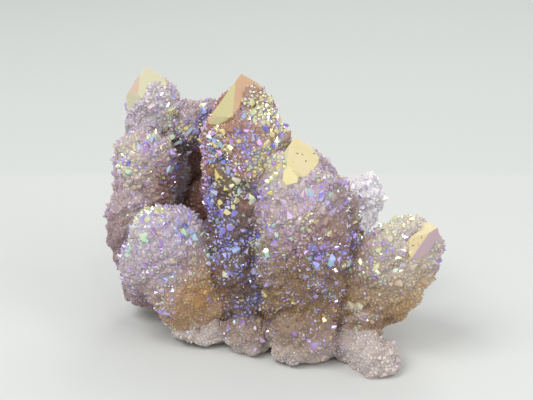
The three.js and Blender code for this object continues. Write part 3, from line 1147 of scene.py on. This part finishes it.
def pitted_colour(shader, colour):
    """A colour with dark pits, where the face's share of pits chooses how many there are."""
    cells = shader.add("ShaderNodeTexVoronoi", {"Vector": shader.here(), "Scale": PIT_SCALE})
    ragged = shader.scaled(shader.noise(PIT_EDGE_SCALE, detail=1), PIT_EDGE, -PIT_EDGE / 2)
    distance = shader.math("ADD", cells.outputs["Distance"], ragged)
    near = shader.math("LESS_THAN", distance, PIT_REACH)
    draw = shader.add("ShaderNodeSeparateColor", {0: cells.outputs["Color"]}).outputs[0]
    chosen = shader.math("LESS_THAN", draw, shader.attribute("pits"))
    return shader.mix(shader.math("MULTIPLY", near, chosen), colour, PIT_COLOUR)


def quartz_material(name, coating, pitted=False, bump=0.0):
    """Coated quartz. It reads the body, film, gleam and chance attributes of its piece.

    bump is the depth of its fine roughness in millimetres.
    """
    material = bpy.data.materials.new(name)
    material.use_nodes = True
    material.node_tree.nodes.clear()
    shader = Shader(material.node_tree)
    coat = shader.add("ShaderNodeGroup", node_tree=shared_group(coating))
    for look, output in (("body", "Vector"), ("film", "Fac"), ("chance", "Fac"), ("gleam", "Fac")):
        shader.tree.links.new(shader.attribute(look, output), coat.inputs[look.title()])
    colour = coat.outputs["Color"]
    inputs = {
        "Base Color": pitted_colour(shader, colour) if pitted else colour,
        "Metallic": coat.outputs["Metallic"], "Roughness": coat.outputs["Roughness"], "IOR": IOR,
        "Subsurface Weight": TRANSLUCENCY, "Subsurface Radius": SCATTER, "Subsurface Scale": MM,
    }
    if bump:
        inputs["Normal"] = shader.add(
            "ShaderNodeBump",
            {"Height": shader.noise(BUMP_SCALE, detail=4), "Strength": 1.0, "Distance": bump * MM},
        ).outputs["Normal"]
    surface = shader.add("ShaderNodeBsdfPrincipled", inputs)
    shader.add("ShaderNodeOutputMaterial", {"Surface": surface.outputs[0]})
    return material


# ---------------------------------------------------------------- operators


class QUARTZ_OT_mass(bpy.types.Operator):
    """Grow the quartz mass that the druse stands on"""

    bl_idname = "quartz.mass"
    bl_label = "Quartz Mass"

    SHADE = 0.8  # painted shade: body colour between the druse crystals, over theirs
    BUMP = 0.4

    def execute(self, context):
        scene = context.scene
        sizes = scene.quartz_druse
        grown = grown_pieces()
        mesh = quartz_mass(grown, sizes.voxel / MM, sizes.relief / MM)
        places = read_rows(mesh.vertices, "co").astype(float)
        body, film, _, _ = look_at(places, grown, locate(places, grown), scene.quartz_body)
        none = np.zeros(len(film))
        set_look(mesh, "POINT", body * self.SHADE, film, none, none + 1)
        mesh.transform(Matrix.Scale(MM, 4))
        material = quartz_material("Quartz Mass", scene.quartz_coating, bump=self.BUMP)
        add_object("quartz_mass", mesh, material)
        return {"FINISHED"}


class QUARTZ_OT_tips(bpy.types.Operator):
    """Cut the flat termination faces of the points that are bare at the tip"""

    bl_idname = "quartz.tips"
    bl_label = "Bare Tips"

    BUMP = 0.05

    def execute(self, context):
        scene = context.scene
        colours = scene.quartz_body
        bare = [piece for piece in grown_pieces() if piece.is_bare]
        crystals = [point.crystal(getattr(colours, point.tip_body)) for point in bare]
        mesh = joined_mesh("bare_tips", crystals)
        for name in ("gleam", "chance"):
            set_attribute(mesh, name, "FLOAT", "FACE", np.zeros(len(mesh.polygons)))
        mesh.transform(Matrix.Scale(MM, 4))
        material = quartz_material("Bare Tip", scene.quartz_coating, pitted=True, bump=self.BUMP)
        add_object("bare_tips", mesh, material)
        return {"FINISHED"}


class QUARTZ_OT_druse(bpy.types.Operator):
    """Cover the quartz mass with druse crystals"""

    bl_idname = "quartz.druse"
    bl_label = "Druse Crust"

    RAGGED, RAGGED_SPAN = 1.3, 1.6  # how far the crust's edge at the bare tips strays, and its span
    RIM = 1.6  # width of the fine band along it
    STAND = 0.05  # how far above the floor the mass's skin has to be
    CLEAR = 0.4  # how far above the floor the crystals' tips stay
    OVERHANG = 1.2  # how far beyond the node's box they reach
    REACH = 0.6  # height of a crystal over its length, with a margin
    OFF_ROW, ON_ROW = 0.4, 1.8  # share of coarse crystals between growth rows, and more on them
    AT_FOOT, RISING = 0.7, 0.5  # size of crystals at a point's foot, and how much more at its tip
    UNEVEN = 0.2  # how much their widths differ
    LENGTHS = (0.8, 1.4)  # over their widths
    PROUD = 0.25  # how much taller the coarse crystals are
    SUNK = (0.0, 0.06, 0.12)  # how deep fine, middling and large ones are sunk, over their width
    GLEAM = (0.8, 1.7, 2.5)  # gleam of fine, middling and large ones over that of their place
    SPARKLE, SPARKLE_SPAN = 1.8, 5  # how much the gleam differs over the crust, and its span
    SPARKLE_SHIFT = (40, 0, 0)
    SPARKLE_RANGE = (0.15, 2)
    TONES = (0.9, 1.1)  # body colour of crystals over the usual one
    DULLEST = 0.72  # body colour of the darkest facets over their crystal's
    KEY_SIDE = (-0.5, -0.3, 0.8)  # the key light's side: faces turned to it take a paler, yellower phase, partly the coating's thickness and partly painted light
    STRAY = 0.04  # how far the facets' phases stray
    PHASES = (0.34, 1.13)  # the coating's range on the druse: violet to yellow
    ODD_PHASES = (0.56, 1.13)  # and that of the odd crystals in it

    def execute(self, context):
        scene = context.scene
        sizes = scene.quartz_druse
        rng = np.random.default_rng(sizes.seed)
        mass = grown_mass()
        grown = grown_pieces()
        places, normals = surface_samples(mass.data, sizes.tries, rng)
        places = places / MM
        where = locate(places, grown)
        stray = noise_at(places, self.RAGGED_SPAN) * self.RAGGED
        wanted = (where.edge > stray) & (places[:, 2] > self.STAND)
        places, normals, where = places[wanted], unit(normals[wanted]), only(where, wanted)
        grade, widths = self.grades(places, where, grown, sizes, rng)
        kept = spaced(places, widths, sizes.packing)
        places, normals, widths, grade = places[kept], normals[kept], widths[kept], grade[kept]
        where = only(where, kept)
        frames = self.frames(places, normals, widths, grade, where, grown, sizes, rng)
        inside = self.inside_box(frames)
        self.build(scene, frames[inside], grade[inside], only(where, inside), grown, rng)
        return {"FINISHED"}

    def grades(self, places, where, grown, sizes, rng):
        """Grade and width of a crystal at each place: 0, 1 and 2 are fine, middling and large."""
        rows = np.array([row(Vector(place)) for place in places])
        size, coarse = (of_owner(grown, where, name) for name in ("look.size", "look.coarse"))
        more = coarse * (self.OFF_ROW + self.ON_ROW * np.maximum(rows, 0))
        more = more * (self.AT_FOOT + smooth_step(where.along))
        draw = np.where(where.edge < self.RIM, 1, rng.random(len(places)) / more)
        coarser = draw < sizes.large_share + sizes.middle_share
        grade = coarser.astype(int) + (draw < sizes.large_share)
        widths = np.array([sizes.fine, sizes.middle, sizes.large])[grade] / MM * size
        widths = widths * np.exp(rng.normal(0, self.UNEVEN, len(places)))
        return grade, widths * (self.AT_FOOT + self.RISING * where.along)

    def frames(self, places, normals, widths, grade, where, grown, sizes, rng):
        """A 3 by 4 frame for each crystal: its axes times its size, and its place."""
        count = len(places)
        axes = of_owner(grown, where, "axis")
        stray = sizes.tilt * unit(rng.normal(size=(count, 3)))
        up = unit(normals + sizes.lean * axes + stray)
        side = square_to(rng.normal(size=(count, 3)), up)
        tall = of_owner(grown, where, "look.tall")
        tall = np.where(grade == 0, tall, 1 + self.PROUD * tall)
        length = (widths * rng.uniform(*self.LENGTHS, count) * tall)[:, None]
        places = places - normals * (widths * np.array(self.SUNK)[grade])[:, None]
        widths = widths[:, None]
        return np.stack([side * widths, np.cross(up, side) * widths, up * length, places], axis=2)

    def inside_box(self, frames):
        """Which crystals have their apex above the floor, and in the node's box or near it."""
        low, high = (np.array(corner) / MM for corner in CAD_BOUNDS)
        apex = frames[:, :, 3] + frames[:, :, 2] * self.REACH
        above = apex[:, 2] > self.CLEAR
        return above & ((apex > low - self.OVERHANG) & (apex < high + self.OVERHANG)).all(axis=1)

    def build(self, scene, frames, grade, where, grown, rng):
        """Adds the crystals in pieces."""
        coating = scene.quartz_coating
        templates = [pyramid_template(setbacks) for setbacks in PYRAMIDS]
        count = len(frames)
        places = frames[:, :, 3]
        body, phase, odd, gleam = look_at(places, grown, where, scene.quartz_body)
        kind = rng.integers(0, len(templates), count)
        body = body * rng.uniform(*self.TONES, (count, 1))
        phase, gleam = patched(places, phase, gleam, rng)
        phase = np.where(rng.random(count) < odd, rng.uniform(*self.ODD_PHASES, count), phase)
        sparkle = 1 + self.SPARKLE * noise_at(places, self.SPARKLE_SPAN, self.SPARKLE_SHIFT)
        gleam = gleam * np.array(self.GLEAM)[grade] * np.clip(sparkle, *self.SPARKLE_RANGE)
        names = of_owner(grown, where, "name")
        material = quartz_material("Druse", coating)
        key_side = unit(np.array([self.KEY_SIDE]))[0]
        for piece_name, owners in DRUSE_PIECES.items():
            here = np.isin(names, owners)
            parts, looks = [], []
            for k, template in enumerate(templates):
                chosen = here & (kind == k)
                parts.append((template, frames[chosen]))
                looks.append({"body": body[chosen], "film": phase[chosen], "gleam": gleam[chosen]})
            mesh, look = druse_mesh(piece_name, parts, looks)
            faces = len(mesh.polygons)
            slant = coating.slant * (read_rows(mesh.polygons, "normal") @ key_side)
            shade = rng.uniform(self.DULLEST, 2 - self.DULLEST, faces)
            film = look["film"] + slant + rng.uniform(-self.STRAY, self.STRAY, faces)
            set_look(
                mesh, "FACE", look["body"] * shade[:, None], np.clip(film, *self.PHASES),
                look["gleam"], rng.random(faces),
            )
            add_object(piece_name, mesh, material)


class QUARTZ_OT_showpieces(bpy.types.Operator):
    """Set the large crystals that stand out of the druse"""

    bl_idname = "quartz.showpieces"
    bl_label = "Large Crystals"

    FLASH = (-0.27, -0.71, 0.65)  # where the large faces with the most painted white glint are turned
    GLOW = (0.16, -0.89, 0.43)  # where the coloured ones are turned
    WHITISH = 0.35
    STRAY = 0.1  # how far they stray from that
    OUTWARD = 0.7  # how far the crystals turn from the point's axis towards the surface's direction
    LIFT = 0.2  # how far the large face's middle stands out of the mass, over the crystal's width
    SQUEEZE = (0.65, 1.2)  # breadth of the crystals over their depth
    CORNERS = 4  # corners of the large face that its middle is taken from
    SHADES = (0.6, 1.2)  # body colour of the other faces over the large one's
    FILM_STRAY = 0.12  # how far their phases stray from its
    GLEAM = 0.5  # share of mirrors among them
    MOST_WHITE = 0.9  # highest chance of a large face, whose gleam is 1

    def execute(self, context):
        scene = context.scene
        mass = grown_mass()
        rng = np.random.default_rng(scene.quartz_druse.seed + 1)
        grown = grown_pieces()
        places, outward = self.on_mass(mass)
        where = locate(places, grown)
        widths, film, white = (
            np.array([getattr(piece, name) for piece in SHOWPIECES])
            for name in ("width", "film", "white")
        )
        body, _, _, _ = look_at(places, grown, where, scene.quartz_body)
        luck = np.sqrt(white / PAINTED_GLINT_SHARE)
        frames = self.frames(outward, of_owner(grown, where, "axis"), widths, white, rng)
        parts, looks, front = [], [], []
        toward = np.array((math.cos(FACE_ANGLE), 0, math.sin(FACE_ANGLE)))
        for k, setbacks in enumerate(PRISMS):
            template = prism_template(setbacks)
            large = (template.normals @ toward).argmax()
            corners = template.loops[template.starts[large] :][: self.CORNERS]
            middle = template.verts[corners].mean(axis=0)
            here = slice(k, None, len(PRISMS))
            frames[here, :, 3] = places[here] + (outward * self.LIFT * widths[:, None])[here]
            frames[here, :, 3] -= frames[here, :, :3] @ middle
            parts.append((template, frames[here]))
            looks.append({"body": body[here], "film": film[here], "luck": luck[here]})
            front.append(np.tile(np.arange(len(template.starts)) == large, len(frames[here])))
        mesh, look = druse_mesh("large_crystals", parts, looks)
        front = np.concatenate(front)
        faces = len(front)
        shade = np.where(front, 1, rng.uniform(*self.SHADES, faces))
        stray = np.where(front, 0, rng.uniform(-self.FILM_STRAY, self.FILM_STRAY, faces))
        chance = np.where(front, np.minimum(look["luck"], self.MOST_WHITE), rng.random(faces))
        set_look(
            mesh, "FACE", look["body"] * shade[:, None], look["film"] + stray,
            np.where(front, 1, self.GLEAM), chance,
        )
        material = quartz_material("Large Crystal", scene.quartz_coating)
        add_object("large_crystals", mesh, material)
        return {"FINISHED"}

    def on_mass(self, mass):
        """The nearest places on the mass, in millimetres, and the surface's direction there."""
        places, outward = [], []
        for piece in SHOWPIECES:
            spot = (Vector(piece.at) - MIDDLE) * MM
            found, place, normal, _ = mass.closest_point_on_mesh(spot)
            if not found:
                raise RuntimeError("no place on the mass for a large crystal")
            places.append(place / MM)
            outward.append(normal)
        return np.array(places), np.array(outward)

    def frames(self, outward, axes, widths, white, rng):
        """Frames whose first termination face is turned to the front, with no place yet."""
        count = len(widths)
        front = np.where((white > self.WHITISH)[:, None], self.FLASH, self.GLOW)
        front = unit(front + self.STRAY * rng.normal(size=(count, 3)))
        rise = square_to(axes + self.OUTWARD * outward, front)
        up = math.sin(FACE_ANGLE) * front + math.cos(FACE_ANGLE) * rise
        side = square_to(front, up)
        sizes = widths[:, None]
        across = np.cross(up, side) * sizes * rng.uniform(*self.SQUEEZE, (count, 1))
        return np.stack([side * sizes, across, up * sizes, np.zeros((count, 3))], axis=2)


class QUARTZ_OT_stage(bpy.types.Operator):
    """Set up the floor, the lights and the camera"""

    bl_idname = "quartz.stage"
    bl_label = "Stage"

    # Places and sizes in metres, and which of the stage's powers each light has.
    LIGHTS = {
        "key": ((-0.42, -0.28, 0.75), 0.5, "key"),
        "fill": ((0.6, -0.5, 0.45), 0.5, "fill"),
        "rear": ((0.2, 0.6, 0.7), 0.4, "fill"),
        "spark_1": ((-0.25, -0.6, 0.55), 0.035, "spark"),
        "spark_2": ((0.15, -0.55, 0.75), 0.035, "spark"),
        "spark_3": ((0.5, -0.2, 0.7), 0.035, "spark"),
    }
    AIM = Vector((0, 0, 0.03))  # where the lights point
    SURROUND = (0.96, 0.97, 0.96, 1)
    FLOOR_REACH = 4  # from the middle to its edges
    FLOOR_ROUGHNESS = 0.6
    BLEND = 0.004  # half the depth over which its tone changes at the horizon
    NEAREST = 0.01  # that the camera shows

    def execute(self, context):
        scene = context.scene
        stage = scene.quartz_stage
        self.floor(scene, stage)
        for name, (place, size, power) in self.LIGHTS.items():
            self.light(scene, name, place, size, getattr(stage, power))
        world = bpy.data.worlds.new("Soft studio")
        world.use_nodes = True
        background = world.node_tree.nodes["Background"]
        background.inputs["Strength"].default_value = stage.ambient
        background.inputs["Color"].default_value = self.SURROUND
        scene.world = world
        self.camera(scene, stage)
        scene.view_settings.view_transform = "Standard"
        return {"FINISHED"}

    def floor(self, scene, stage):
        """A floor that changes its tone at the horizon."""
        bm = bmesh.new()
        bmesh.ops.create_grid(bm, x_segments=1, y_segments=1, size=self.FLOOR_REACH)
        mesh = as_mesh("floor", bm)
        material = bpy.data.materials.new("Pale floor")
        material.use_nodes = True
        shader = Shader(material.node_tree)
        surface = material.node_tree.nodes["Principled BSDF"]
        surface.inputs["Roughness"].default_value = self.FLOOR_ROUGHNESS
        depth = shader.add("ShaderNodeSeparateXYZ", {0: shader.here()}).outputs["Y"]
        far = shader.add(
            "ShaderNodeMapRange",
            {0: depth, 1: stage.horizon - self.BLEND, 2: stage.horizon + self.BLEND},
            interpolation_type="SMOOTHSTEP",
        ).outputs[0]
        tone = shader.mix(far, (*stage.floor, 1), (*stage.backdrop, 1))
        shader.tree.links.new(tone, surface.inputs["Base Color"])
        mesh.materials.append(material)
        floor = bpy.data.objects.new("floor", mesh)
        scene.collection.objects.link(floor)

    def light(self, scene, name, place, size, power):
        """A square light."""
        data = bpy.data.lights.new(name, "AREA")
        data.energy = power
        data.size = size
        light = bpy.data.objects.new(name, data)
        light.location = place
        aim = self.AIM - light.location
        light.rotation_euler = aim.to_track_quat("-Z", "Y").to_euler()
        scene.collection.objects.link(light)

    def camera(self, scene, stage):
        """The camera, in front of the cluster."""
        data = bpy.data.cameras.new("camera")
        data.lens = stage.lens
        data.clip_start = self.NEAREST
        camera = bpy.data.objects.new("camera", data)
        level, steep = math.cos(stage.elevation), math.sin(stage.elevation)
        back = Vector((0, -level, steep))
        camera.location = Vector(stage.target) + back * stage.distance
        camera.rotation_euler = (-back).to_track_quat("-Z", "Y").to_euler()
        scene.collection.objects.link(camera)
        scene.camera = camera


class QUARTZ_PT_panel(bpy.types.Panel):
    """Lists the steps of the cluster"""

    bl_idname = "QUARTZ_PT_panel"
    bl_label = "Spirit Quartz"
    bl_space_type = "VIEW_3D"
    bl_region_type = "UI"
    bl_category = "Quartz"

    def draw(self, context):
        for step in OPERATORS:
            self.layout.operator(step.bl_idname)


GROUPS = {
    "quartz_body": QuartzBodyColours,
    "quartz_coating": QuartzCoating,
    "quartz_druse": QuartzDruse,
    "quartz_stage": QuartzStage,
}
OPERATORS = (
    QUARTZ_OT_mass, QUARTZ_OT_tips, QUARTZ_OT_druse, QUARTZ_OT_showpieces, QUARTZ_OT_stage,
)


def register():
    for cls in (*GROUPS.values(), *OPERATORS, QUARTZ_PT_panel):
        bpy.utils.register_class(cls)
    for name, cls in GROUPS.items():
        setattr(bpy.types.Scene, name, PointerProperty(type=cls))


def unregister():
    for name in GROUPS:
        delattr(bpy.types.Scene, name)
    for cls in (QUARTZ_PT_panel, *reversed(OPERATORS), *reversed(GROUPS.values())):
        bpy.utils.unregister_class(cls)


def main():
    """Builds the cluster and its stage."""
    register()
    bpy.ops.quartz.mass()
    bpy.ops.quartz.tips()
    bpy.ops.quartz.druse()
    bpy.ops.quartz.showpieces()
    bpy.ops.quartz.stage()


if __name__ == "__main__":
    main()
